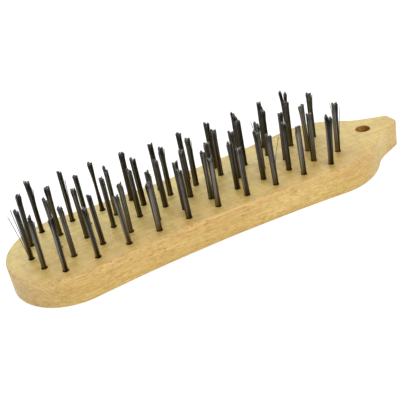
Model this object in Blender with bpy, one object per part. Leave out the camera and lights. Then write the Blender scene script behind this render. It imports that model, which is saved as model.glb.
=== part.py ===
"""Hand wire brush: a beech block with five staggered rows of wire tufts.

Metres, +Z up. The block lies on its flat back with the bristles up. +X runs along the block to
the hang-hole end, and the object is symmetric about the XZ plane apart from the wires' own lean.
"""

import math
import random

import bmesh
import bpy
from mathutils import Vector

MM = 0.001

# Block
BLOCK_LENGTH = 250.0
BLOCK_THICKNESS = 17.0
END_RADIUS = 33.0  # wide rounded end
END_SWEEP = 95.4
WAIST_RADIUS = 806.0
WAIST_SWEEP = 11.05
SHOULDER_RADIUS = 39.6
SHOULDER_SWEEP = 54.4
NECK_RADIUS = 34.9
NECK_SWEEP = 24.4
TAIL_CORNER_RADIUS = 2.8
EDGE_RADIUS = 0.9
HANG_HOLE_X = 103.2
HANG_HOLE_RADIUS = 4.5

# Tuft pattern, five rows symmetric about the long axis
MIDDLE_PITCH = 15.87
INNER_PITCH = 16.68
OUTER_PITCH = 18.12
MIDDLE_START = -111.3
INNER_START = -107.8
OUTER_START = -99.0
INNER_OFFSET = 11.75
OUTER_OFFSET = 22.05
ROW_BOW = 1.6  # the rows follow the waist of the block by this much
BOW_CENTRE = -16.1
BOW_LENGTH = 182.5

# Tuft and its drilled hole
HOLE_RADIUS = 1.8
HOLE_DEPTH = 11.0
DRILL_TIP = 1.1
HOLE_SIDES = 12
TUFT_RADIUS = 1.42
TUFT_TIP_RADIUS = 1.66
TUFT_SIDES = 8
TUFT_FOOT = 0.4  # gap under the fold
FOLD_HEIGHT = 2.2
FOLD_SQUEEZE = 0.72
ANCHOR_LENGTH = 2.8
ANCHOR_INSET = 0.25  # frame of wire left round each end of the anchor strip
TIP_RAGGED = 0.9
LEAN_DIRECTION = -24.0

# How far each tuft's tip stands off to the side, and how long it stands above the block, in mm.
# Row 1 is the row at -Y.
LEAN = {
    1: (0.0, -0.1, -0.7, 0.0, 0.1, 0.2, -0.4, -0.5, -0.4, 1.0),
    2: (0.8, -0.5, -0.5, -0.1, -0.4, -0.3, -0.4, -0.5, -0.5, 0.4, 0.0, 0.8),
    3: (0.5, -0.1, -0.2, 0.1, -0.5, -0.5, -0.3, -0.4, -0.3, 0.0, 0.1, -0.4),
    4: (1.5, 0.1, 0.1, 0.1, -0.4, -0.1, 0.1, -0.2, 0.1, -0.2, 0.1, -0.2),
    5: (0.1, 0.5, 0.1, 1.1, -0.2, -0.5, -0.5, 0.2, -0.2, -0.2),
}
HEIGHT = {
    1: (31.2, 30.4, 30.1, 29.2, 29.9, 30.3, 30.0, 30.6, 30.0, 29.7),
    2: (31.4, 29.9, 30.2, 30.0, 30.5, 30.2, 30.4, 29.6, 30.1, 30.5, 30.0, 30.5),
    3: (30.9, 30.7, 30.4, 30.1, 29.8, 29.6, 30.1, 29.6, 29.9, 30.1, 29.6, 29.8),
    4: (31.4, 30.5, 31.1, 30.8, 30.5, 30.7, 30.6, 29.9, 28.8, 30.4, 30.2, 28.9),
    5: (31.6, 31.5, 31.5, 30.5, 30.4, 30.6, 30.2, 30.0, 30.0, 30.0),
}


def clear_scene():
    for obj in list(bpy.data.objects):
        bpy.data.objects.remove(obj, do_unlink=True)


def material(name, colour, roughness, metallic):
    mat = bpy.data.materials.new(name)
    mat.use_nodes = True
    shader = mat.node_tree.nodes["Principled BSDF"]
    shader.inputs["Base Color"].default_value = (*colour, 1.0)
    shader.inputs["Roughness"].default_value = roughness
    shader.inputs["Metallic"].default_value = metallic
    return mat


def object_from(bm, name, mat=None):
    """A mesh object from a bmesh whose coordinates are in millimetres."""
    bmesh.ops.scale(bm, vec=(MM, MM, MM), verts=bm.verts)
    bmesh.ops.recalc_face_normals(bm, faces=bm.faces)
    mesh = bpy.data.meshes.new(name)
    bm.to_mesh(mesh)
    bm.free()
    if mat:
        mesh.materials.append(mat)
    obj = bpy.data.objects.new(name, mesh)
    bpy.context.scene.collection.objects.link(obj)
    return obj


def loft(bm, rings):
    """Closed skin through rings of equal length, capped at each end. Returns the bands of side
    faces, lowest first, and the top cap."""
    rows = [[bm.verts.new(point) for point in ring] for ring in rings]
    count = len(rows[0])
    bands = []
    for low, high in zip(rows, rows[1:]):
        band = []
        for i in range(count):
            j = (i + 1) % count
            band.append(bm.faces.new((low[i], low[j], high[j], high[i])))
        bands.append(band)
    bm.faces.new(list(reversed(rows[0])))
    return bands, bm.faces.new(rows[-1])


def half_outline():
    """Points and outward normals of the +Y half, from the wide end's tip to the tail's face.

    The chain is four tangent arcs, a straight taper and a small corner arc. Heading is the
    direction of travel, and a negative sweep turns to the right.
    """
    arcs = (
        (END_RADIUS, -END_SWEEP, 14),
        (WAIST_RADIUS, WAIST_SWEEP, 8),
        (SHOULDER_RADIUS, -SHOULDER_SWEEP, 9),
        (NECK_RADIUS, NECK_SWEEP, 5),
    )
    position = Vector((-BLOCK_LENGTH / 2, 0.0))
    heading = math.radians(90)
    points = [(position.copy(), Vector((-1.0, 0.0)))]

    def turn(radius, sweep, steps):
        nonlocal position, heading
        side = math.copysign(1.0, sweep)
        inward = heading + side * math.pi / 2
        centre = position + radius * Vector((math.cos(inward), math.sin(inward)))
        for step in range(1, steps + 1):
            now = heading + math.radians(sweep) * step / steps
            outward = Vector((-math.sin(now), math.cos(now)))
            points.append((centre - side * radius * outward, outward))
        position = points[-1][0].copy()
        heading += math.radians(sweep)

    for radius, sweep, steps in arcs:
        turn(radius, sweep, steps)
    corner_turn = -90.0 - math.degrees(heading)
    setback = TAIL_CORNER_RADIUS * math.tan(math.radians(-corner_turn) / 2)
    reach = (BLOCK_LENGTH / 2 - position.x) / math.cos(heading) - setback
    position = position + reach * Vector((math.cos(heading), math.sin(heading)))
    points.append((position.copy(), Vector((-math.sin(heading), math.cos(heading)))))
    turn(TAIL_CORNER_RADIUS, corner_turn, 4)
    return points


def block_outline():
    """The whole outline as points with outward normals, one turn round the block."""
    upper = half_outline()
    lower = [(Vector((p.x, -p.y)), Vector((n.x, -n.y))) for p, n in reversed(upper[1:])]
    return upper + lower


def row_positions(row):
    if row == 3:
        return [(MIDDLE_START + MIDDLE_PITCH * k, 0.0) for k in range(12)]
    outer = row in (1, 5)
    side = -1.0 if row < 3 else 1.0
    start, pitch, count, offset = (
        (OUTER_START, OUTER_PITCH, 10, OUTER_OFFSET)
        if outer
        else (INNER_START, INNER_PITCH, 12, INNER_OFFSET)
    )
    found = []
    for k in range(count):
        x = start + pitch * k
        bow = ROW_BOW * math.cos(2 * math.pi * (x - BOW_CENTRE) / BOW_LENGTH)
        found.append((x, side * (offset - bow)))
    return found


def circle(x, y, z, radius, sides, squeeze=1.0):
    """Ring of points, narrowed along X by squeeze. Its first point is half a step past +X."""
    ring = []
    for i in range(sides):
        a = 2 * math.pi * (i + 0.5) / sides
        ring.append((x + radius * squeeze * math.cos(a), y + radius * math.sin(a), z))
    return ring


def build_cutter():
    """All tuft holes and the hang hole as one set of tools."""
    bm = bmesh.new()
    above = BLOCK_THICKNESS + 2.0
    floor = BLOCK_THICKNESS - HOLE_DEPTH
    for row in range(1, 6):
        for x, y in row_positions(row):
            loft(
                bm,
                (
                    circle(x, y, floor - DRILL_TIP, 0.15, HOLE_SIDES),
                    circle(x, y, floor, HOLE_RADIUS, HOLE_SIDES),
                    circle(x, y, above, HOLE_RADIUS, HOLE_SIDES),
                ),
            )
    loft(
        bm,
        (
            circle(HANG_HOLE_X, 0.0, -2.0, HANG_HOLE_RADIUS, 32),
            circle(HANG_HOLE_X, 0.0, above, HANG_HOLE_RADIUS, 32),
        ),
    )
    cutter = object_from(bm, "hole_cutter")
    cutter.hide_render = True
    cutter.display_type = "WIRE"
    return cutter


def build_block(mat):
    """Block with softened top and bottom edges, drilled for the tufts and the hang hole."""
    outline = block_outline()
    rings = []
    steps = (0.0, 0.5, 1.0)
    for base, sign in ((0.0, 1.0), (BLOCK_THICKNESS, -1.0)):
        order = steps if sign > 0 else tuple(reversed(steps))
        for step in order:
            angle = step * math.pi / 2
            inset = EDGE_RADIUS * (1 - math.sin(angle))
            z = base + sign * EDGE_RADIUS * (1 - math.cos(angle))
            rings.append([(p.x - n.x * inset, p.y - n.y * inset, z) for p, n in outline])
    bm = bmesh.new()
    loft(bm, rings)
    block = object_from(bm, "body", mat)
    for polygon in block.data.polygons:
        polygon.use_smooth = True
    block.data.set_sharp_from_angle(angle=math.radians(35))
    drill = block.modifiers.new("drill", "BOOLEAN")
    drill.operation = "DIFFERENCE"
    drill.solver = "EXACT"
    drill.object = build_cutter()
    return block


def add_anchor_ends(bm, band):
    """Draws the anchor strip's two ends out of the fold's +X and -X faces."""
    for face, side in ((band[-1], 1.0), (band[TUFT_SIDES // 2 - 1], -1.0)):
        bmesh.ops.inset_individual(bm, faces=[face], thickness=ANCHOR_INSET)
        end = bmesh.ops.extrude_discrete_faces(bm, faces=[face])["faces"][0]
        for vert in end.verts:
            vert.co.x = side * ANCHOR_LENGTH / 2


def tuft_mesh(bm, row, index):
    """Bundle from its fold in the hole to its ragged tip, centred on its own hole."""
    rng = random.Random(100 * row + index)
    foot = BLOCK_THICKNESS - HOLE_DEPTH + TUFT_FOOT
    fold = foot + FOLD_HEIGHT
    tip = BLOCK_THICKNESS + HEIGHT[row][index]
    lean_x = LEAN[row][index] * math.cos(math.radians(LEAN_DIRECTION))
    lean_y = LEAN[row][index] * math.sin(math.radians(LEAN_DIRECTION))
    crown = circle(lean_x, lean_y, tip, TUFT_TIP_RADIUS, TUFT_SIDES)
    bands, cap = loft(
        bm,
        (
            circle(0, 0, foot, TUFT_RADIUS * 0.55, TUFT_SIDES, FOLD_SQUEEZE),
            circle(0, 0, foot + 0.5, TUFT_RADIUS * 0.9, TUFT_SIDES, FOLD_SQUEEZE),
            circle(0, 0, fold, TUFT_RADIUS, TUFT_SIDES, FOLD_SQUEEZE),
            circle(0, 0, fold + 1.5, TUFT_RADIUS, TUFT_SIDES),
            circle(0, 0, BLOCK_THICKNESS + 1.0, TUFT_RADIUS, TUFT_SIDES),
            [(x, y, z - TIP_RAGGED * rng.random()) for x, y, z in crown],
        ),
    )
    bmesh.ops.poke(bm, faces=[cap])
    add_anchor_ends(bm, bands[1])


def build_tufts(mat):
    """One object for each tuft, placed at its hole."""
    for row in range(1, 6):
        for index, (x, y) in enumerate(row_positions(row)):
            bm = bmesh.new()
            tuft_mesh(bm, row, index)
            tuft = object_from(bm, f"tuft_r{row}_{index + 1:02d}", mat)
            for polygon in tuft.data.polygons:
                polygon.use_smooth = True
            tuft.data.set_sharp_from_angle(angle=math.radians(50))
            tuft.location = (x * MM, y * MM, 0.0)


clear_scene()
beech = material("beech", (0.72, 0.53, 0.30), 0.6, 0.0)
steel = material("steel_wire", (0.09, 0.085, 0.08), 0.42, 0.9)
build_block(beech)
build_tufts(steel)
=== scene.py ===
"""Looks of a hand wire brush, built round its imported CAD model."""

import math
import random

import bmesh
import bpy
from mathutils import Matrix, Vector, noise


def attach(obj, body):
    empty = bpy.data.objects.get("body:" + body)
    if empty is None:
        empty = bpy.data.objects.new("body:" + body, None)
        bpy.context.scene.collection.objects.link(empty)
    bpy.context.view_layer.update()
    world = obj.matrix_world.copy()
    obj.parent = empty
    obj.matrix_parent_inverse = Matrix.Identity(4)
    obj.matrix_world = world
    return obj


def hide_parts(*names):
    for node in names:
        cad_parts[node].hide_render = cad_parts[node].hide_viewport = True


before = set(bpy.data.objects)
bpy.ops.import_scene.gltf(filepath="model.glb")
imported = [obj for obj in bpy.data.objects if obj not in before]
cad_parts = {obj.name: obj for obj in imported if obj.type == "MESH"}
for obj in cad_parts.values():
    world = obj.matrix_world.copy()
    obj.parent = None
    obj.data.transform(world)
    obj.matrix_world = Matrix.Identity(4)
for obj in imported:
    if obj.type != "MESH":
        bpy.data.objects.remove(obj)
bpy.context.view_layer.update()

MM = 0.001

# Block outline: the same tangent arcs as the CAD solid, sampled more finely
LENGTH = 250.0
THICKNESS = 17.0
ARCS = (
    (33.0, -95.4, 40),
    (806.0, 11.05, 26),
    (39.6, -54.4, 26),
    (34.9, 24.4, 12),
)
CORNER_RADIUS = 2.8
EDGE_RADIUS = 0.9
HANG_HOLE_X = 103.2
HANG_HOLE_RADIUS = 4.5
HOLE_RADIUS = 1.8
HOLE_DEPTH = 11.0
DRILL_TIP = 1.1
DRILL_POINT_RADIUS = 0.12
RIM_WIDTH = 0.13  # how much the wires have opened the rim of a drilled hole, and how deep
RIM_DEPTH = 0.16
HANG_HOLE_CHAMFER = 0.3
HOLE_SIDES = 28
HANG_HOLE_SIDES = 56
TAPER_STEPS = 6
CORNER_STEPS = 9
EDGE_STEPS = 5
EDGE_WOBBLE = 0.35  # share by which hand sanding changes the edge's radius

# Wood: pith of the tree in mm from the block's origin, and colours
PITH_Y = -62.0
PITH_Z = 38.0
RING_SPACING = 1.6


def srgb(red, green, blue):
    """Linear colour of an 8-bit display colour."""
    channels = (c / 255 for c in (red, green, blue))
    return tuple(c / 12.92 if c <= 0.04045 else ((c + 0.055) / 1.055) ** 2.4 for c in channels)


SIDE_DARK = srgb(210, 170, 103)
SIDE_LIGHT = srgb(228, 197, 130)
SIDE_SAP = (1.08, 1.14, 1.18)  # the lower edge is nearer the sapwood
# Top colours: painted shade at the front, painted sheen at the back
FRONT_SHADE_DARK = srgb(186, 155, 71)
FRONT_SHADE_LIGHT = srgb(200, 171, 85)
BACK_SHEEN_DARK = srgb(200, 181, 109)
BACK_SHEEN_LIGHT = srgb(214, 196, 123)
END_DARK = srgb(201, 170, 110)
END_LIGHT = srgb(220, 191, 131)
LATE_WOOD = srgb(160, 108, 62)
FLECK = srgb(158, 98, 44)
ENDS_TINT = (0.90, 0.90, 0.82)  # towards both ends of the top
BACK_EDGE_SHADE = (0.94, 0.90, 0.80)  # painted shade along the back edge of the top, where the back row of tufts shades it
NECK_LIGHT_AND_FLAKES = (1.09, 1.27, 1.40)  # the sides of the neck are paler, partly pale flakes and partly painted light, and the tail's darker, as painted shade
TAIL_PAINTED_SHADE = (0.84, 0.86, 0.82)
# Painted shade among the tufts, together with a grey-green stain of steel dust
SHADE_AND_DUST_TINT = (0.93, 0.925, 0.78)
# Painted shade in the tuft holes, on wood that is also darkened by burnishing and oil
HOLE_SHADE_TINT = (0.42, 0.30, 0.19)
# Painted shade in the hang hole's bore, with a little of the end grain's darker tone
HANG_HOLE_SHADE_TINT = (0.62, 0.44, 0.16)

# Floor: what it gives back to the object, and what the camera sees, which just stays white
FLOOR_BOUNCE = 0.93
FLOOR_SEEN = 0.2
FLOOR_GLOW = 0.86
WORLD_LIGHT = 0.65

# Wire
WIRE_RADIUS = 0.175
WIRE_SIDES = 6
WIRE_STEP = 0.39  # spacing of wires across a bundle
BUNDLE_RADIUS = (1.36, 1.62)  # above the block, at the wide end and at the last tufts
IN_HOLE = 0.9  # share of that radius inside the hole
FOLD_Z = 7.9
FOLD_SQUEEZE = 0.72
ANCHOR_HALF_THICKNESS = 0.25
ANCHOR_HALF_LENGTH = 1.68
ANCHOR_BEVEL = 0.08
ANCHOR_WIDTH = 1.6
ANCHOR_SINK = 0.15  # how far the strip sits below the height where the fold starts
TUFT_SPAN = 215.0  # from the block's wide end to the last tufts
# Directions across a bundle: the first is the one in which sides are measured below
VIEW_SIDE = Vector((0.91, -0.414, 0.0))
VIEW_DEPTH = Vector((-VIEW_SIDE.y, VIEW_SIDE.x, 0.0))
# How bright the wires are painted: painted light on the front row and painted shade on the rows
# behind it, where the tufts in front shade them, and some tufts more or less than their row
ROW_LIGHT_AND_SHADE = (1.1, 0.78, 0.80, 0.72, 0.46)
TUFT_SHINE = {
    "tuft_r1_02": 1.3,
    "tuft_r1_03": 1.5,
    "tuft_r2_03": 0.6,
    "tuft_r2_12": 1.5,
    "tuft_r3_12": 1.4,
    "tuft_r5_05": 0.7,
}
HIGHLIGHT_SIDE = -2.6  # direction, in radians about +Z, of a bundle's painted highlight
# Painted reflection of the wood: brown on the lower part of the wires and on the anchor strips
FOOT_REFLECTION_TINT = (1.0, 0.9, 0.66)
TIP_TINT = 0.42

# Prongs at a tuft's cut end: how far each stands to the side of the hole, and its height above
# the block, in mm. Wires between two prongs end a little lower.
PRONGS = {
    "tuft_r1_01": ((-0.7, 31.4), (1.5, 32.2)),
    "tuft_r1_02": ((-0.9, 30.7), (1.0, 30.3)),
    "tuft_r1_03": ((-2.1, 29.5), (0.4, 30.3)),
    "tuft_r1_04": ((-1.4, 29.2), (0.4, 29.5)),
    "tuft_r1_05": ((-1.3, 29.9), (0.6, 29.2)),
    "tuft_r1_06": ((-1.0, 30.2), (1.4, 31.0)),
    "tuft_r1_07": ((-1.8, 29.9), (0.4, 30.1)),
    "tuft_r1_08": ((-1.8, 31.6), (0.8, 30.5)),
    "tuft_r1_09": ((-1.4, 30.2), (0.4, 30.5)),
    "tuft_r1_10": ((-0.2, 30.9), (2.3, 29.2)),
    "tuft_r2_01": ((-0.6, 28.9), (0.9, 32.0), (1.9, 28.6)),
    "tuft_r2_02": ((-0.8, 30.7), (0.7, 30.1)),
    "tuft_r2_03": ((-1.4, 30.8), (0.3, 30.2)),
    "tuft_r2_04": ((-0.9, 29.9), (1.1, 30.5), (1.5, 28.3)),
    "tuft_r2_05": ((-1.1, 30.3), (0.4, 31.0), (1.0, 28.6)),
    "tuft_r2_06": ((-1.4, 29.8), (0.7, 30.4)),
    "tuft_r2_07": ((-1.0, 30.2), (0.7, 28.9)),
    "tuft_r2_08": ((-1.4, 29.9), (0.6, 28.6)),
    "tuft_r2_09": ((-1.5, 31.0), (0.3, 29.7)),
    "tuft_r2_10": ((-0.9, 30.6), (1.0, 30.0)),
    "tuft_r2_11": ((-1.2, 30.3), (1.1, 29.9)),
    "tuft_r2_12": ((-0.6, 30.9), (1.8, 30.8)),
    "tuft_r3_01": ((-0.6, 31.0), (1.0, 29.6)),
    "tuft_r3_02": ((-0.7, 31.6), (0.9, 29.7)),
    "tuft_r3_03": ((-1.2, 30.7), (0.7, 30.6)),
    "tuft_r3_04": ((-0.6, 31.0), (1.0, 29.8)),
    "tuft_r3_05": ((-1.0, 30.1), (0.6, 29.3)),
    "tuft_r3_06": ((-1.2, 29.9), (0.5, 29.1)),
    "tuft_r3_09": ((-1.8, 30.5), (0.3, 29.8)),
    "tuft_r3_10": ((-0.8, 30.2), (0.8, 28.9)),
    "tuft_r3_11": ((-0.6, 29.8), (1.2, 30.1)),
    "tuft_r3_12": ((-2.0, 29.1), (-0.3, 30.4)),
    "tuft_r4_01": ((-0.4, 27.4), (0.9, 32.2), (2.8, 32.3), (3.1, 28.6)),
    "tuft_r4_02": ((-1.2, 30.8), (0.6, 31.1), (2.1, 31.5)),
    "tuft_r4_03": ((-0.9, 31.5), (0.8, 31.1)),
    "tuft_r4_04": ((-0.6, 31.2), (0.9, 28.6)),
    "tuft_r4_05": ((-1.4, 30.7), (0.6, 29.7)),
    "tuft_r4_06": ((-0.9, 30.8), (0.9, 30.3)),
    "tuft_r4_07": ((-0.9, 30.6), (1.1, 30.3)),
    "tuft_r4_08": ((-1.1, 30.2), (1.1, 29.5)),
    "tuft_r4_09": ((-0.9, 28.9), (0.6, 29.5)),
    "tuft_r4_10": ((-0.4, 30.2), (1.3, 29.6)),
    "tuft_r4_12": ((-1.4, 29.6), (0.7, 29.2)),
    "tuft_r5_01": ((-1.0, 33.2), (1.4, 32.7), (1.9, 28.7)),
    "tuft_r5_02": ((-0.5, 32.1), (1.5, 31.4)),
    "tuft_r5_03": ((-0.8, 31.6), (0.8, 31.2)),
    "tuft_r5_04": ((-0.3, 31.1), (1.2, 31.2)),
    "tuft_r5_06": ((-1.2, 30.7), (0.4, 30.1)),
    "tuft_r5_07": ((-1.3, 30.8), (1.1, 30.0)),
    "tuft_r5_08": ((-0.8, 30.5), (0.6, 29.0), (1.5, 27.5)),
    "tuft_r5_09": ((-0.6, 30.5), (1.2, 30.5), (1.7, 27.4)),
    "tuft_r5_10": ((-2.1, 31.3), (1.0, 29.9)),
}

# Tufts whose two prongs part below the end: share of the height where they part
SPLITS = {"tuft_r1_10": 0.70, "tuft_r5_10": 0.77}
SPLIT_FLARE = 0.28

# Tufts drawn in below the end: share of the width lost at half height
WAISTS = {"tuft_r5_03": 0.34, "tuft_r2_07": 0.16, "tuft_r3_12": 0.2, "tuft_r4_02": 0.15}

# A tuft that isn't split widens towards its end by up to this share
MOST_FLARE = 0.24
OUTER_WIRES = 9  # wires at each side that may come loose or stray

# Single wires that stand away from their tuft: side offset and height in mm, and the share of
# the height where they leave it
STRAYS = {
    "tuft_r3_01": ((-4.7, 27.4, 0.08), (-2.3, 31.2, 0.08)),
    "tuft_r1_08": ((5.0, 28.5, 0.45),),
    "tuft_r3_10": ((-2.9, 30.1, 0.74),),
    "tuft_r2_12": ((-2.0, 31.1, 0.74), (3.7, 27.5, 0.3)),
    "tuft_r3_04": ((0.6, 32.0, 0.7),),
    "tuft_r5_04": ((-1.0, 31.3, 0.6),),
    "tuft_r4_06": ((2.1, 29.4, 0.74),),
    "tuft_r5_02": ((2.3, 26.0, 0.3),),
    "tuft_r1_04": ((-2.1, 28.2, 0.6),),
    "tuft_r4_12": ((2.0, 28.0, 0.6),),
}

# Camera
CAMERA_PLACE = Vector((-0.1433, -0.3675, 0.2351))
CAMERA_FORWARD = Vector((0.3078, 0.8106, -0.4981))
CAMERA_RIGHT = Vector((0.8840, -0.4372, -0.1653))
CAMERA_LENS = 70.146
CAMERA_SENSOR = 36.0
CAMERA_SHIFT = -0.03


# ---------------------------------------------------------------- node helpers


def new_material(name):
    mat = bpy.data.materials.new(name)
    mat.use_nodes = True
    tree = mat.node_tree
    return mat, tree, tree.nodes["Principled BSDF"]


def put(tree, kind, **settings):
    node = tree.nodes.new(kind)
    for key, value in settings.items():
        setattr(node, key, value)
    return node


def link(tree, source, target):
    tree.links.new(source, target)


def math_node(tree, operation, a, b=None, clamp=False):
    node = put(tree, "ShaderNodeMath", operation=operation, use_clamp=clamp)
    for socket, value in zip(node.inputs, (a, b)):
        if value is None:
            continue
        if isinstance(value, (int, float)):
            socket.default_value = value
        else:
            link(tree, value, socket)
    return node.outputs[0]


def scaled(tree, vector, scale, offset=(0, 0, 0)):
    node = put(tree, "ShaderNodeMapping")
    node.inputs["Scale"].default_value = scale
    node.inputs["Location"].default_value = offset
    link(tree, vector, node.inputs["Vector"])
    return node.outputs[0]


def noise_node(tree, vector, scale, detail=3.0, rough=0.5, distortion=0.0):
    node = put(tree, "ShaderNodeTexNoise")
    node.inputs["Scale"].default_value = scale
    node.inputs["Detail"].default_value = detail
    node.inputs["Roughness"].default_value = rough
    node.inputs["Distortion"].default_value = distortion
    link(tree, vector, node.inputs["Vector"])
    return node.outputs["Fac"]


def ramp(tree, value, stops):
    node = put(tree, "ShaderNodeValToRGB")
    elements = node.color_ramp.elements
    while len(elements) < len(stops):
        elements.new(0.5)
    for element, (position, colour) in zip(elements, stops):
        element.position = position
        element.color = (*colour, 1.0)
    link(tree, value, node.inputs["Fac"])
    return node.outputs["Color"]


def grey(v):
    return (v, v, v)


def mix_colour(tree, factor, a, b, blend="MIX"):
    node = put(tree, "ShaderNodeMix", data_type="RGBA", blend_type=blend)
    for socket, value in ((node.inputs[0], factor), (node.inputs[6], a), (node.inputs[7], b)):
        if isinstance(value, (int, float)):
            socket.default_value = value
        elif isinstance(value, tuple):
            socket.default_value = (*value, 1.0)
        else:
            link(tree, value, socket)
    return node.outputs[2]


def tinted(tree, colour, tint, share):
    """The colour, multiplied by a tint where the share is 1."""
    return mix_colour(tree, share, colour, tint, "MULTIPLY")


def dot_node(tree, a, b):
    node = put(tree, "ShaderNodeVectorMath", operation="DOT_PRODUCT")
    link(tree, a, node.inputs[0])
    link(tree, b, node.inputs[1])
    return node.outputs["Value"]


def smooth_step(tree, value, low, high, to_low=0.0, to_high=1.0):
    node = put(tree, "ShaderNodeMapRange", interpolation_type="SMOOTHSTEP")
    link(tree, value, node.inputs["Value"])
    node.inputs["From Min"].default_value = low
    node.inputs["From Max"].default_value = high
    node.inputs["To Min"].default_value = to_low
    node.inputs["To Max"].default_value = to_high
    return node.outputs["Result"]


def multiply(tree, *factors):
    result = factors[0]
    for factor in factors[1:]:
        result = math_node(tree, "MULTIPLY", result, factor)
    return result


def separated(tree, vector):
    """The X, Y and Z of a vector."""
    node = put(tree, "ShaderNodeSeparateXYZ")
    link(tree, vector, node.inputs[0])
    return node.outputs[0], node.outputs[1], node.outputs[2]


def in_millimetres(tree):
    """Object coordinates in mm."""
    coord = put(tree, "ShaderNodeTexCoord").outputs["Object"]
    return scaled(tree, coord, (1000.0, 1000.0, 1000.0))


def bump_from(tree, shader, height, strength, distance):
    bump = put(tree, "ShaderNodeBump")
    bump.inputs["Strength"].default_value = strength
    bump.inputs["Distance"].default_value = distance
    link(tree, height, bump.inputs["Height"])
    link(tree, bump.outputs["Normal"], shader.inputs["Normal"])


# ---------------------------------------------------------------- materials


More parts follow.
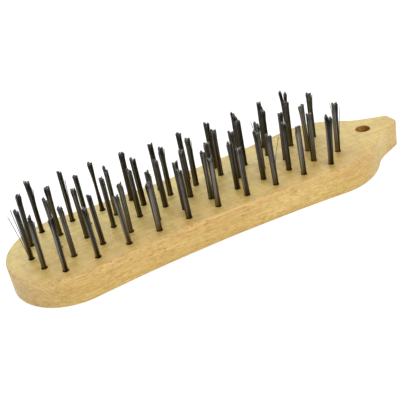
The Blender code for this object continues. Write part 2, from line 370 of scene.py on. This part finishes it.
def beech_material(name, tint=None):
    """Sanded beech, sawn so that growth rings cross it steeply.

    Rings run round a pith in front of and above the block. The top is darker towards the
    front, as painted shade of the tufts, and paler towards the back, as painted sheen of light
    from behind. A face along the rings (the long sides) shows short dark ray flecks, a face
    across them (top and underside) shows pale flakes, and the end grain shows the rings
    themselves.
    """
    mat, tree, shader = new_material(name)
    p = in_millimetres(tree)
    x, y, z = separated(tree, p)
    normal = put(tree, "ShaderNodeNewGeometry").outputs["True Normal"]
    normal_x, _, normal_z = separated(tree, normal)
    end = math_node(tree, "POWER", math_node(tree, "ABSOLUTE", normal_x), 2.0)

    # Distance from the pith, which wanders a little along the grain
    from_pith = scaled(tree, p, (0.0, 1.0, 1.0), (0.0, -PITH_Y, -PITH_Z))
    length = put(tree, "ShaderNodeVectorMath", operation="LENGTH")
    link(tree, from_pith, length.inputs[0])
    outward = put(tree, "ShaderNodeVectorMath", operation="NORMALIZE")
    link(tree, from_pith, outward.inputs[0])
    along = math_node(tree, "ABSOLUTE", dot_node(tree, outward.outputs[0], normal))
    flat_sawn = math_node(tree, "POWER", along, 1.5)
    warp = noise_node(tree, scaled(tree, p, (0.010, 0.035, 0.035)), 1.0, 2.0)
    wander = math_node(tree, "MULTIPLY", warp, 7.0)
    wander = math_node(tree, "ADD", wander, math_node(tree, "MULTIPLY", x, 0.012))
    radius = math_node(tree, "ADD", length.outputs["Value"], wander)
    ring = math_node(tree, "FRACT", math_node(tree, "MULTIPLY", radius, 1 / RING_SPACING))
    late = ramp(
        tree,
        ring,
        ((0.0, grey(0.0)), (0.58, grey(0.05)), (0.82, grey(1.0)), (0.95, grey(0.0))),
    )
    # Rings differ in strength from one to the next
    which = noise_node(tree, scaled(tree, p, (0.008, 0.42, 0.42)), 1.0, 1.0)
    late = multiply(tree, late, smooth_step(tree, which, 0.35, 0.62, 0.25, 1.0))

    # Ground colours of the top, the sides and the end grain, with tints by place, several of them
    # painted light and shade
    ground = noise_node(tree, scaled(tree, p, (0.016, 0.09, 0.09)), 1.0, 4.0, 0.6)
    # Painted shade of the tufts darkens the front of the top, and painted sheen pales its back
    front_shade = ramp(tree, ground, ((0.32, FRONT_SHADE_DARK), (0.68, FRONT_SHADE_LIGHT)))
    back_sheen = ramp(tree, ground, ((0.32, BACK_SHEEN_DARK), (0.68, BACK_SHEEN_LIGHT)))
    top_tone = mix_colour(tree, smooth_step(tree, y, -34.0, 24.0), front_shade, back_sheen)
    tail = smooth_step(tree, x, 44.0, 98.0)
    wide_end = smooth_step(tree, x, -122.0, -96.0, 1.0, 0.0)
    top_tone = tinted(tree, top_tone, ENDS_TINT, math_node(tree, "ADD", tail, wide_end))
    # Painted shade along the back edge of the top
    top_tone = tinted(tree, top_tone, BACK_EDGE_SHADE, smooth_step(tree, y, 18.0, 31.0))

    on_side = smooth_step(tree, normal_z, 0.3, 0.7, 1.0, 0.0)
    neck_start = smooth_step(tree, x, 84.0, 98.0)
    neck_finish = smooth_step(tree, x, 107.0, 115.0, 1.0, 0.0)
    shaded_tail_side = multiply(tree, on_side, smooth_step(tree, x, 110.0, 118.0))
    side_tone = ramp(tree, ground, ((0.32, SIDE_DARK), (0.68, SIDE_LIGHT)))
    # Painted light on the neck's sides, along with the wood's pale flakes there, and painted
    # shade on the tail
    neck = multiply(tree, on_side, neck_start, neck_finish)
    side_tone = tinted(tree, side_tone, NECK_LIGHT_AND_FLAKES, neck)
    side_tone = tinted(tree, side_tone, TAIL_PAINTED_SHADE, shaded_tail_side)
    side_tone = tinted(tree, side_tone, SIDE_SAP, smooth_step(tree, z, 1.0, 13.0, 1.0, 0.0))

    end_tone = ramp(tree, ground, ((0.32, END_DARK), (0.68, END_LIGHT)))
    # Painted shade on the tail's end grain too
    end_tone = tinted(tree, end_tone, TAIL_PAINTED_SHADE, shaded_tail_side)
    colour = mix_colour(tree, flat_sawn, top_tone, side_tone)
    colour = mix_colour(tree, end, colour, end_tone)

    # Long streaks of grain, and the darker late wood
    streak = noise_node(tree, scaled(tree, p, (0.035, 0.8, 0.8)), 1.0, 5.0, 0.65)
    streak = ramp(tree, streak, ((0.34, (0.87, 0.84, 0.78)), (0.66, (1.07, 1.08, 1.10))))
    colour = tinted(tree, colour, streak, 1.0)
    ring_share = smooth_step(tree, end, 0.0, 0.7, 0.24, 0.75)
    colour = mix_colour(tree, multiply(tree, late, ring_share), colour, LATE_WOOD)

    # Ray flecks seen end on: short dark dashes along the grain
    dash = noise_node(tree, scaled(tree, p, (0.33, 2.4, 2.0), (3.0, 9.0, 2.0)), 1.0, 1.5, 0.45)
    dash = ramp(tree, dash, ((0.54, grey(0.0)), (0.64, grey(1.0))))
    patch = noise_node(tree, scaled(tree, p, (0.045, 0.16, 0.16)), 1.0, 2.0)
    patch = smooth_step(tree, patch, 0.34, 0.58, 0.35, 1.0)
    dash_share = math_node(tree, "ADD", math_node(tree, "MULTIPLY", flat_sawn, 0.78), 0.05)
    off_end = smooth_step(tree, end, 0.12, 0.5, 1.0, 0.15)
    colour = mix_colour(tree, multiply(tree, dash, patch, dash_share, off_end), colour, FLECK)

    # Rays seen on their flat: soft cloudy flakes that lie across the grain
    flake_place = scaled(tree, p, (0.34, 0.15, 0.5), (1.0, 5.0, 8.0))
    flake = noise_node(tree, flake_place, 1.0, 3.0, 0.55, 0.4)
    flake = ramp(tree, flake, ((0.38, (0.86, 0.84, 0.81)), (0.60, (1.06, 1.065, 1.07))))
    cloudy = math_node(tree, "SUBTRACT", 1.0, flat_sawn, clamp=True)
    colour = tinted(tree, colour, flake, cloudy)

    # Fine pores, cut short along the grain
    pores = noise_node(tree, scaled(tree, p, (1.1, 7.0, 7.0)), 1.0, 2.0, 0.6)
    pores = ramp(tree, pores, ((0.36, grey(0.90)), (0.50, grey(1.0))))
    colour = tinted(tree, colour, pores, 1.0)

    # Painted shade among the tufts on the top, together with grey-green steel dust rubbed in
    # there, thinning out past the outer rows
    up = smooth_step(tree, normal_z, 0.6, 0.95)
    inside_rows = smooth_step(tree, math_node(tree, "ABSOLUTE", y), 21.0, 31.0, 1.0, 0.0)
    past_first = smooth_step(tree, x, -122.0, -104.0)
    before_last = smooth_step(tree, x, 78.0, 96.0, 1.0, 0.0)
    shade_and_dust = noise_node(tree, scaled(tree, p, (0.06, 0.07, 0.06), (20.0, 3.0, 1.0)), 1.0, 4.0, 0.6)
    shade_and_dust = smooth_step(tree, shade_and_dust, 0.34, 0.62, 0.35, 1.0)
    shade_and_dust = multiply(tree, up, inside_rows, past_first, before_last, shade_and_dust)
    colour = tinted(tree, colour, SHADE_AND_DUST_TINT, shade_and_dust)
    if tint:
        colour = tinted(tree, colour, tint, 1.0)
    link(tree, colour, shader.inputs["Base Color"])

    grain = noise_node(tree, scaled(tree, p, (0.25, 1.4, 1.4)), 1.0, 3.0)
    link(tree, smooth_step(tree, grain, 0.2, 0.8, 0.40, 0.58), shader.inputs["Roughness"])
    shader.inputs["Specular IOR Level"].default_value = 0.5

    height = math_node(tree, "ADD", multiply(tree, streak, 0.35), multiply(tree, pores, 0.5))
    bump_from(tree, shader, height, 0.35, 0.00012)
    return mat


def wire_material(name, dull, bright, roughness, cut=False):
    """Dark drawn steel: each wire its own tone, long streaks, patchy oxide and a soft sheen.

    On cut ends the tone changes from one wire to the next, some freshly sheared and some dark.
    """
    mat, tree, shader = new_material(name)
    p = in_millimetres(tree)
    z = separated(tree, p)[2]
    streak = noise_node(tree, scaled(tree, p, (6.0, 6.0, 0.12)), 1.0, 3.0, 0.6)
    if cut:
        level = noise_node(tree, scaled(tree, p, (2.3, 2.3, 2.3)), 1.0, 1.0)
        level = smooth_step(tree, level, 0.52, 0.66)
    else:
        # The tone attribute holds each wire's random tone with its painted highlight and its
        # painted light and shade by row
        tone = put(tree, "ShaderNodeAttribute", attribute_name="tone").outputs["Fac"]
        level = math_node(tree, "MULTIPLY", tone, 0.75)
        level = math_node(tree, "ADD", level, math_node(tree, "MULTIPLY", streak, 0.35))
    colour = ramp(tree, level, ((0.1, dull), (0.95, bright)))
    # Painted reflection of the wood, fading out up the wires
    colour = tinted(tree, colour, FOOT_REFLECTION_TINT, smooth_step(tree, z, 17.0, 33.0, 1.0, 0.0))
    if not cut:
        colour = tinted(tree, colour, grey(TIP_TINT), smooth_step(tree, z, 41.0, 47.0))
    oxide = noise_node(tree, scaled(tree, p, (0.9, 0.9, 0.35)), 1.0, 3.0, 0.6)
    oxide = ramp(tree, oxide, ((0.45, (1.0, 1.0, 1.0)), (0.75, (0.88, 0.72, 0.52))))
    colour = tinted(tree, colour, oxide, 0.7)
    link(tree, colour, shader.inputs["Base Color"])
    shader.inputs["Metallic"].default_value = 1.0
    rough = put(tree, "ShaderNodeMapRange")
    link(tree, streak, rough.inputs["Value"])
    rough.inputs["To Min"].default_value = roughness - 0.08
    rough.inputs["To Max"].default_value = roughness + 0.14
    link(tree, rough.outputs["Result"], shader.inputs["Roughness"])
    bump_from(tree, shader, streak, 0.2, 0.00003)
    return mat


# ---------------------------------------------------------------- block


def half_outline():
    """Points and outward normals of the +Y half, from the wide end's tip to the tail's face."""
    position = Vector((-LENGTH / 2, 0.0))
    heading = math.radians(90)
    points = [(position.copy(), Vector((-1.0, 0.0)))]

    def turn(radius, sweep, steps):
        nonlocal position, heading
        side = math.copysign(1.0, sweep)
        inward = heading + side * math.pi / 2
        centre = position + radius * Vector((math.cos(inward), math.sin(inward)))
        for step in range(1, steps + 1):
            now = heading + math.radians(sweep) * step / steps
            outward = Vector((-math.sin(now), math.cos(now)))
            points.append((centre - side * radius * outward, outward))
        position = points[-1][0].copy()
        heading += math.radians(sweep)

    for radius, sweep, steps in ARCS:
        turn(radius, sweep, steps)
    corner_turn = -90.0 - math.degrees(heading)
    setback = CORNER_RADIUS * math.tan(math.radians(-corner_turn) / 2)
    reach = (LENGTH / 2 - position.x) / math.cos(heading) - setback
    step = reach * Vector((math.cos(heading), math.sin(heading)))
    outward = Vector((-math.sin(heading), math.cos(heading)))
    for i in range(1, TAPER_STEPS + 1):
        points.append((position + step * i / TAPER_STEPS, outward))
    position = points[-1][0].copy()
    turn(CORNER_RADIUS, corner_turn, CORNER_STEPS)
    return points


def ring_of(x, y, z, radius, sides):
    """Points of a level circle."""
    return [
        (
            x + radius * math.cos(2 * math.pi * i / sides),
            y + radius * math.sin(2 * math.pi * i / sides),
            z,
        )
        for i in range(sides)
    ]


def loft(bm, rings):
    """Adds a closed skin through rings of equal length, in mm, capped at each end."""
    rows = [[bm.verts.new(Vector(point) * MM) for point in ring] for ring in rings]
    count = len(rows[0])
    for low, high in zip(rows, rows[1:]):
        for i in range(count):
            j = (i + 1) % count
            bm.faces.new((low[i], low[j], high[j], high[i]))
    bm.faces.new(list(reversed(rows[0])))
    bm.faces.new(rows[-1])


def mesh_object(bm, name):
    bmesh.ops.recalc_face_normals(bm, faces=bm.faces)
    mesh = bpy.data.meshes.new(name)
    bm.to_mesh(mesh)
    bm.free()
    obj = bpy.data.objects.new(name, mesh)
    bpy.context.scene.collection.objects.link(obj)
    return obj


def build_cutter(holes):
    """What the drills take away: the blind holes with opened rims, and the hang hole."""
    bm = bmesh.new()
    floor = THICKNESS - HOLE_DEPTH
    rim = HOLE_RADIUS + RIM_WIDTH
    for x, y in holes:
        levels = (
            (floor - DRILL_TIP, DRILL_POINT_RADIUS),
            (floor, HOLE_RADIUS),
            (THICKNESS - RIM_DEPTH, HOLE_RADIUS),
            (THICKNESS + 0.01, rim),
            (THICKNESS + 1.0, rim),
        )
        loft(bm, [ring_of(x, y, z, radius, HOLE_SIDES) for z, radius in levels])
    bore = HANG_HOLE_RADIUS
    mouth = bore + HANG_HOLE_CHAMFER
    levels = (
        (-1.0, mouth),
        (-0.01, mouth),
        (HANG_HOLE_CHAMFER, bore),
        (THICKNESS - HANG_HOLE_CHAMFER, bore),
        (THICKNESS + 0.01, mouth),
        (THICKNESS + 1.0, mouth),
    )
    loft(bm, [ring_of(HANG_HOLE_X, 0, z, radius, HANG_HOLE_SIDES) for z, radius in levels])
    return mesh_object(bm, "hole_cutter")


def wood_index(centre, holes):
    """Which of the block's three materials a face with this centre has, in mm."""
    if centre.z >= THICKNESS - 0.1:
        return 0
    if any(math.hypot(centre.x - x, centre.y - y) < HOLE_RADIUS + 0.05 for x, y in holes):
        return 1
    return 2 if math.hypot(centre.x - HANG_HOLE_X, centre.y) < HANG_HOLE_RADIUS + 0.05 else 0


def build_block(holes):
    """Softened, slightly hand-sanded block with drilled holes whose rims are a little crushed."""
    upper = half_outline()
    outline = upper + [(Vector((p.x, -p.y)), Vector((n.x, -n.y))) for p, n in reversed(upper[1:])]
    steps = [i / EDGE_STEPS for i in range(EDGE_STEPS + 1)]
    rings = []
    for base, sign in ((0.0, 1.0), (THICKNESS, -1.0)):
        for step in steps if sign > 0 else reversed(steps):
            angle = step * math.pi / 2
            ring = []
            for p, n in outline:
                wobble = noise.noise(Vector((p.x * 0.03, p.y * 0.03, 7.0 * sign)))
                edge = EDGE_RADIUS * (1.0 + EDGE_WOBBLE * wobble)
                inset = edge * (1 - math.sin(angle))
                z = base + sign * edge * (1 - math.cos(angle))
                ring.append((p.x - n.x * inset, p.y - n.y * inset, z))
            rings.append(ring)
    bm = bmesh.new()
    loft(bm, rings)
    block = mesh_object(bm, "beech_block")

    cutter = build_cutter(holes)
    drill = block.modifiers.new("drill", "BOOLEAN")
    drill.operation = "DIFFERENCE"
    drill.solver = "EXACT"
    drill.object = cutter
    bpy.context.view_layer.update()
    graph = bpy.context.evaluated_depsgraph_get()
    mesh = bpy.data.meshes.new_from_object(block.evaluated_get(graph))
    block.modifiers.clear()
    block.data = mesh
    bpy.data.objects.remove(cutter, do_unlink=True)

    mesh.materials.clear()
    mesh.materials.append(beech_material("beech_sanded"))
    # The walls of the tuft holes and of the hang hole get painted shade
    mesh.materials.append(beech_material("beech_drilled_painted_shade", HOLE_SHADE_TINT))
    mesh.materials.append(beech_material("beech_bored_painted_shade", HANG_HOLE_SHADE_TINT))
    for polygon in mesh.polygons:
        polygon.material_index = wood_index(polygon.center / MM, holes)
        polygon.use_smooth = True
    mesh.set_sharp_from_angle(angle=math.radians(32))
    return block


# ---------------------------------------------------------------- tufts


def tube(points, radius, sides, verts, faces):
    """Adds a round wire through the points to the vertex and face lists, with flat ends."""
    start = len(verts)
    side = Vector((1, 0, 0))
    count = len(points)
    for i, point in enumerate(points):
        before = points[max(i - 1, 0)]
        after = points[min(i + 1, count - 1)]
        along = (after - before).normalized()
        side = (side - along * side.dot(along)).normalized()
        across = along.cross(side)
        for k in range(sides):
            a = 2 * math.pi * k / sides
            verts.append((point + radius * (math.cos(a) * side + math.sin(a) * across)) * MM)
    for i in range(count - 1):
        for k in range(sides):
            j = (k + 1) % sides
            a = start + i * sides
            b = a + sides
            faces.append((a + k, a + j, b + j, b + k))
    faces.append(tuple(start + k for k in reversed(range(sides))))
    faces.append(tuple(start + (count - 1) * sides + k for k in range(sides)))


def lattice(bundle):
    """Places of the wires on the +Y side of a bundle of this radius, close packed."""
    found = []
    row_height = WIRE_STEP * math.sqrt(3) / 2
    for j in range(6):
        y = (j + 0.5) * row_height
        for i in range(-6, 7):
            x = (i + (0.5 if j % 2 else 0.0)) * WIRE_STEP
            if math.hypot(x, y) < bundle:
                found.append((x, y))
    return found


def leg_points(place, tip, tall, part, split, flare, waist):
    """One half of a folded wire, from the fold up to its cut end.

    part is how far the wire leaves its straight line above the split, to the side.
    """
    x, y = place
    points = [
        Vector((x * FOLD_SQUEEZE, math.copysign(max(abs(y), 0.5), y), FOLD_Z)),
        Vector((x * 0.85, y * IN_HOLE, FOLD_Z + 2.6)),
        Vector((x * IN_HOLE, y * IN_HOLE, FOLD_Z + 5.5)),
        Vector((x * IN_HOLE, y * IN_HOLE, THICKNESS - 0.4)),
        Vector((x * 0.97, y * 0.97, THICKNESS + 0.6)),
    ]
    mouth = Vector((x, y, 0.0))
    middle, spread = tip
    for t in (0.12, 0.28, 0.42, 0.56, 0.7, 0.8, 0.9, 1.0):
        # Straight to an unflared end, then drawn in at the waist and out at the end
        flat = mouth.lerp(spread, t) * (1 - waist * math.sin(math.pi * t) ** 2) + middle * t
        flat += spread * flare * t ** 1.6
        flat += VIEW_SIDE * part * max(0.0, (t - split) / (1.0 - split)) ** 1.2
        points.append(Vector((flat.x, flat.y, THICKNESS + t * tall)))
    return points


def tip_height(side, prongs, rng):
    """Cut height of a wire that stands at this side offset: highest at a prong."""
    reach, tall = min((abs(side - s) - 0.02 * h, h) for s, h in prongs)
    reach = abs(reach + 0.02 * tall)
    return tall - min(1.5, 1.3 * max(0.0, reach - 0.3)) - min(1.2, abs(rng.gauss(0, 0.38)))


def prongs_from_solid(lean, height, rng):
    """Two prongs for a tuft that has none listed, from its CAD solid's lean and height."""
    side = lean.dot(VIEW_SIDE)
    half_gap = rng.uniform(1.0, 1.25)
    return (
        (side - half_gap, height + rng.uniform(-0.4, 0.4)),
        (side + half_gap, height + rng.uniform(-1.2, 0.2)),
    )


def wire_tips(wires, prongs, flare, part, split, twist, rng):
    """For each wire: its offset in the turned bundle, its cut height, how far it leaves the
    bundle to the side, and from what share of the height."""
    middle = (prongs[0][0] + prongs[-1][0]) / 2
    tips = {}
    for wire in wires:
        across = Vector((wire[0], wire[1], 0.0))
        u, v = across.dot(VIEW_SIDE), across.dot(VIEW_DEPTH)
        turned_u = u * math.cos(twist) - v * math.sin(twist)
        turned_v = u * math.sin(twist) + v * math.cos(twist)
        turned_u += rng.gauss(0, 0.05)
        turned_v += rng.gauss(0, 0.05)
        shift = math.copysign(part, turned_u)
        side = middle + (1 + flare) * turned_u + shift
        offset = VIEW_SIDE * turned_u + VIEW_DEPTH * turned_v
        tips[wire] = (offset, tip_height(side, prongs, rng), shift, split)
    return tips


def loosen(name, tips, middle, flare, rng):
    """Cuts a few wires short, loosens some at both sides, and pulls the strays out."""
    wires = list(tips)
    for wire in rng.sample(wires, 3):
        offset, tall, shift, start = tips[wire]
        tips[wire] = (offset, tall - rng.uniform(0.8, 3.0), shift, start)
    ranked = sorted(wires, key=lambda w: Vector((w[0], w[1], 0)).dot(VIEW_SIDE))
    outer = rng.sample(ranked[:OUTER_WIRES], 2) + rng.sample(ranked[-OUTER_WIRES:], 2)
    for wire in outer:
        offset, tall, shift, start = tips[wire]
        if name not in SPLITS:
            shift = math.copysign(rng.uniform(0.0, 0.6), wire[0])
            start = rng.uniform(0.6, 0.85)
        tips[wire] = (offset, tall - rng.uniform(-0.4, 1.2), shift, start)
    for side, tall, start in STRAYS.get(name, ()):
        wire = ranked.pop(0) if side < middle else ranked.pop()
        offset = tips[wire][0]
        reach = side - middle - (1 + flare) * offset.dot(VIEW_SIDE)
        tips[wire] = (offset, tall, reach, start)


def folded_path(legs, centre):
    """Points of a whole wire: down one leg, round the fold and up the other."""
    radius = abs(legs[0][0].y)
    bend = [
        Vector((legs[0][0].x, radius * math.cos(a), FOLD_Z - radius * math.sin(a)))
        for a in (math.radians(d) for d in (36, 72, 108, 144))
    ]
    path = list(reversed(legs[0])) + bend + legs[1]
    return [Vector((q.x + centre.x, q.y + centre.y, q.z)) for q in path]


def half_tone(x, y, painted_brightness, highlight_side, rng):
    """Brightness of half a wire: a random tone, and a painted highlight on the wires at two
    opposite sides of the bundle.
    """
    lit = math.cos(math.atan2(y, x) - highlight_side) ** 2
    return painted_brightness * min(1.0, 0.42 * lit**3 + 0.9 * rng.random() ** 4)


def build_tuft(name, centre, lean, height):
    """A bundle of wires folded over its anchor strip, with ragged, slightly splayed ends."""
    rng = random.Random(sum(ord(c) * (i + 3) for i, c in enumerate(name)))
    prongs = PRONGS.get(name) or prongs_from_solid(lean, height, rng)
    low, high = prongs[0][0], prongs[-1][0]
    middle = (low + high) / 2
    along = min(1.0, (centre.x + LENGTH / 2) / TUFT_SPAN)
    bundle = BUNDLE_RADIUS[0] + along * (BUNDLE_RADIUS[1] - BUNDLE_RADIUS[0])
    waist = WAISTS.get(name, 0.0)
    split = SPLITS.get(name, 0.9)
    if name in SPLITS:
        flare = SPLIT_FLARE
        part = (high - low) / 2 - bundle * (1 + flare) / 2
    else:
        flare = min(max(((high - low) / 2 + 0.38) / bundle, 1.0), 1.0 + MOST_FLARE) - 1.0
        part = 0.0
    twist = rng.uniform(-0.7, 0.7)
    lean_to = VIEW_SIDE * middle + VIEW_DEPTH * rng.gauss(0, 0.35)
    places = lattice(bundle)
    wires = places + [(x, -y) for x, y in places]
    tips = wire_tips(wires, prongs, flare, part, split, twist, rng)
    loosen(name, tips, middle, flare, rng)

    verts = []
    faces = []
    tones = []
    # Painted light and shade by row, and each tuft's own factor
    painted_brightness = ROW_LIGHT_AND_SHADE[int(name[6]) - 1] * TUFT_SHINE.get(name, 1.0)
    # Side of the bundle whose wires get the painted highlight
    highlight_side = HIGHLIGHT_SIDE + rng.uniform(-0.6, 0.6)
    for x, y in places:
        legs = [
            leg_points(p, (lean_to, tips[p][0]), *tips[p][1:], flare, waist)
            for p in ((x, y), (x, -y))
        ]
        before = len(verts)
        tube(folded_path(legs, centre), WIRE_RADIUS, WIRE_SIDES, verts, faces)
        half = (len(verts) - before) // 2
        tones += [half_tone(x, y, painted_brightness, highlight_side, rng)] * half
        tones += [half_tone(x, -y, painted_brightness, highlight_side, rng)] * (len(verts) - before - half)
    mesh = bpy.data.meshes.new(name + "_wires")
    mesh.from_pydata(verts, [], faces)
    mesh.update()
    tone = mesh.attributes.new("tone", "FLOAT", "POINT")
    tone.data.foreach_set("value", tones)
    for polygon in mesh.polygons:
        is_side = len(polygon.vertices) == 4
        polygon.use_smooth = is_side
        polygon.material_index = 0 if is_side else 1
    obj = bpy.data.objects.new(name + "_wires", mesh)
    bpy.context.scene.collection.objects.link(obj)
    return obj


def build_anchor(name, centre):
    """Flat steel strip with sheared, slightly rounded ends, lying in the fold."""
    bm = bmesh.new()
    low = FOLD_Z - ANCHOR_SINK
    high = low + ANCHOR_WIDTH
    straight = ANCHOR_HALF_LENGTH - ANCHOR_BEVEL
    rings = []
    for x, inset in (
        (-ANCHOR_HALF_LENGTH, ANCHOR_BEVEL),
        (-straight, 0.0),
        (straight, 0.0),
        (ANCHOR_HALF_LENGTH, ANCHOR_BEVEL),
    ):
        half = ANCHOR_HALF_THICKNESS - inset
        corners = (
            (-half, low + inset),
            (half, low + inset),
            (half, high - inset),
            (-half, high - inset),
        )
        rings.append([(centre.x + x, centre.y + y, z) for y, z in corners])
    loft(bm, rings)
    return mesh_object(bm, name.replace("tuft", "anchor"))


def read_tuft(node):
    """Centre of the hole, lean and height of a CAD tuft, in mm."""
    points = [v.co / MM for v in node.data.vertices]
    bottom = min(p.z for p in points)
    top = max(p.z for p in points)
    foot = [p for p in points if p.z < bottom + 0.01]
    crown = [p for p in points if p.z > top - 1.5]
    centre = sum(foot, Vector()) / len(foot)
    tip = sum(crown, Vector()) / len(crown)
    lean = Vector((tip.x - centre.x, tip.y - centre.y, 0.0))
    return centre, lean, top - THICKNESS


def build_brush():
    tufts = sorted(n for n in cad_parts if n.startswith("tuft"))
    measured = {n: read_tuft(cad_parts[n]) for n in tufts}
    block = build_block([(c.x, c.y) for c, _, _ in measured.values()])
    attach(block, "root")
    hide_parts("body")
    wires = wire_material("steel_wire_dark", (0.017, 0.0165, 0.0145), (0.42, 0.40, 0.345), 0.27)
    ends = wire_material(
        "steel_wire_cut", (0.025, 0.024, 0.022), (0.62, 0.60, 0.55), 0.36, cut=True
    )
    strip = wire_material("anchor_strip", (0.22, 0.21, 0.20), (0.42, 0.40, 0.37), 0.38)
    for name in tufts:
        centre, lean, height = measured[name]
        tuft = build_tuft(name, centre, lean, height)
        tuft.data.materials.append(wires)
        tuft.data.materials.append(ends)
        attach(tuft, "root")
        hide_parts(name)
        anchor = build_anchor(name, centre)
        anchor.data.materials.append(strip)
        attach(anchor, "root")


# ---------------------------------------------------------------- stage


def area_light(name, place, size, power):
    """A rectangular light that points at the origin."""
    light = bpy.data.lights.new(name, "AREA")
    light.shape = "RECTANGLE"
    light.size, light.size_y = size
    light.energy = power
    obj = bpy.data.objects.new(name, light)
    obj.location = place
    obj.rotation_euler = (-Vector(place)).to_track_quat("-Z", "Y").to_euler()
    bpy.context.scene.collection.objects.link(obj)


def build_stage():
    bm = bmesh.new()
    bmesh.ops.create_grid(bm, x_segments=2, y_segments=2, size=25.0)
    floor = mesh_object(bm, "studio_floor")
    floor.location.z = -0.0002
    mat, tree, shader = new_material("studio_floor")
    shader.inputs["Roughness"].default_value = 0.9
    seen = put(tree, "ShaderNodeLightPath").outputs["Is Camera Ray"]
    base = mix_colour(tree, seen, grey(FLOOR_BOUNCE), grey(FLOOR_SEEN))
    link(tree, base, shader.inputs["Base Color"])
    shader.inputs["Emission Color"].default_value = (1.0, 1.0, 1.0, 1.0)
    glow = math_node(tree, "MULTIPLY", seen, FLOOR_GLOW)
    link(tree, glow, shader.inputs["Emission Strength"])
    floor.data.materials.append(mat)

    world = bpy.data.worlds.new("studio")
    bpy.context.scene.world = world
    world.use_nodes = True
    tree = world.node_tree
    background = tree.nodes["Background"]
    background.inputs["Color"].default_value = (1.0, 1.0, 1.0, 1.0)
    seen = put(tree, "ShaderNodeLightPath").outputs["Is Camera Ray"]
    sky = math_node(tree, "MULTIPLY", seen, 1.0 - WORLD_LIGHT)
    link(tree, math_node(tree, "ADD", sky, WORLD_LIGHT), background.inputs["Strength"])

    area_light("key", (0.1, 0.9, 0.85), (1.6, 0.7), 11.5)
    area_light("fill", (0.1, -1.0, 0.8), (1.2, 0.8), 8.0)


def build_camera():
    camera = bpy.data.cameras.new("camera")
    obj = bpy.data.objects.new("camera", camera)
    bpy.context.scene.collection.objects.link(obj)
    forward = CAMERA_FORWARD.normalized()
    right = (CAMERA_RIGHT - forward * CAMERA_RIGHT.dot(forward)).normalized()
    up = right.cross(forward)
    turn = Matrix((right, up, -forward)).transposed()
    obj.matrix_world = Matrix.Translation(CAMERA_PLACE) @ turn.to_4x4()
    camera.sensor_width = CAMERA_SENSOR
    camera.lens = CAMERA_LENS
    camera.shift_x = CAMERA_SHIFT
    camera.clip_start = 0.01
    camera.clip_end = 20.0
    bpy.context.scene.camera = obj
    bpy.context.scene.view_settings.view_transform = "Standard"


build_brush()
build_stage()
build_camera()
